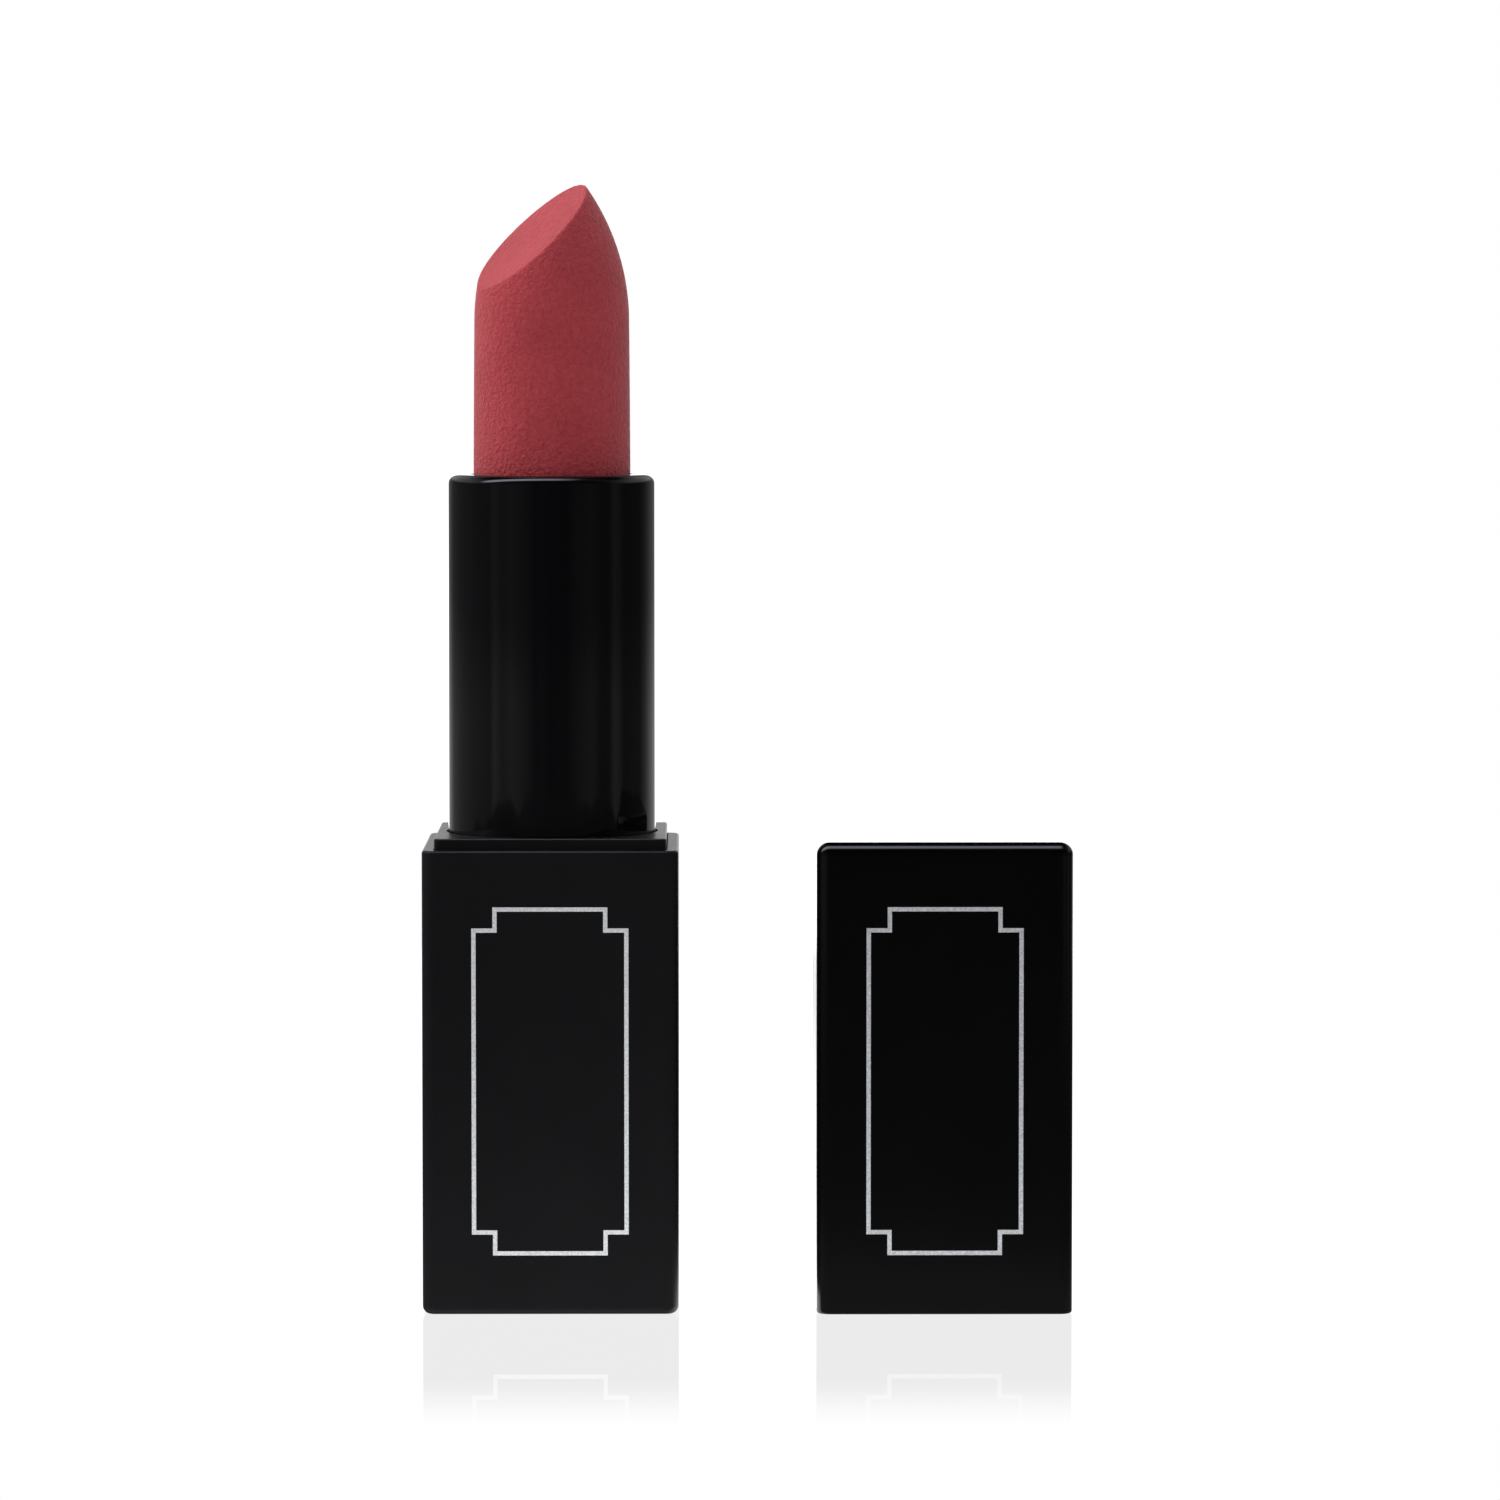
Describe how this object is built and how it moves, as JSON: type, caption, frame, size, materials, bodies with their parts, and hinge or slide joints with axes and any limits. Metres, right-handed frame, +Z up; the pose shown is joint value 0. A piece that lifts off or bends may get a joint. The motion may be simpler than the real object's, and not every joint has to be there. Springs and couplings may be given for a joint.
{
  "type": "lipstick case",
  "caption": "Square twist-up lipstick case with a round sleeve, slanted bullet and loose magnetic cap standing beside it.",
  "frame": {"origin": "on the lipstick's axis, in the plane that the base and the cap stand on", "axes": "+Z up along the lipstick, -Y towards the decorated front, +X towards the cap standing beside it"},
  "size_m": [0.0495, 0.0196, 0.086],
  "materials": {
    "case_black": "soft-touch matt black lacquer on moulded ABS",
    "core_black": "semi-gloss moulded black ABS",
    "sleeve_black": "gloss black lacquered drawn aluminium",
    "mechanism_black": "moulded black acetal",
    "liner_black": "moulded black polypropylene",
    "lipstick_rose": "matt rose lipstick wax",
    "silver_foil": "grained hot-stamped silver foil",
    "weight_steel": "zinc-plated pressed steel",
    "magnet_nickel": "nickel-plated magnet",
    "ring_silicone": "translucent silicone",
    "label_paper": "blank coated paper shade label"
  },
  "bodies": {
    "base": {"base_shell": "case_black", "base_core": "core_black", "base_weight": "weight_steel", "base_label": "label_paper", "base_foil": "silver_foil", "guide_tube": "mechanism_black", "brake_ring": "ring_silicone", "base_magnet_1": "magnet_nickel", "base_magnet_2": "magnet_nickel", "base_magnet_3": "magnet_nickel", "base_magnet_4": "magnet_nickel"},
    "sleeve": {"sleeve": "sleeve_black", "spiral": "mechanism_black"},
    "carrier": {"cup": "mechanism_black", "bullet": "lipstick_rose"},
    "cap": {"cap_shell": "case_black", "cap_liner": "liner_black", "cap_weight": "weight_steel", "cap_foil": "silver_foil", "cap_magnet_1": "magnet_nickel", "cap_magnet_2": "magnet_nickel", "cap_magnet_3": "magnet_nickel", "cap_magnet_4": "magnet_nickel"}
  },
  "joints": [
    {"name": "sleeve_twist", "type": "hinge", "parent": "base", "child": "sleeve", "pos_m": [0, 0, 0.0455], "axis": [0, 0, 1], "range_deg": [0, 540]},
    {"name": "carrier_lift", "type": "slide", "parent": "base", "child": "carrier", "axis": [0, 0, 1], "range_m": [-0.0235, 0]},
    {"name": "cap_lift", "type": "slide", "parent": "base", "child": "cap", "axis": [0, 0, 1], "range_m": [0, 0.065]}
  ],
  "couplings": [
    {"joint": "sleeve_twist", "follows": "carrier_lift", "rad_per_m": -401.05}
  ]
}
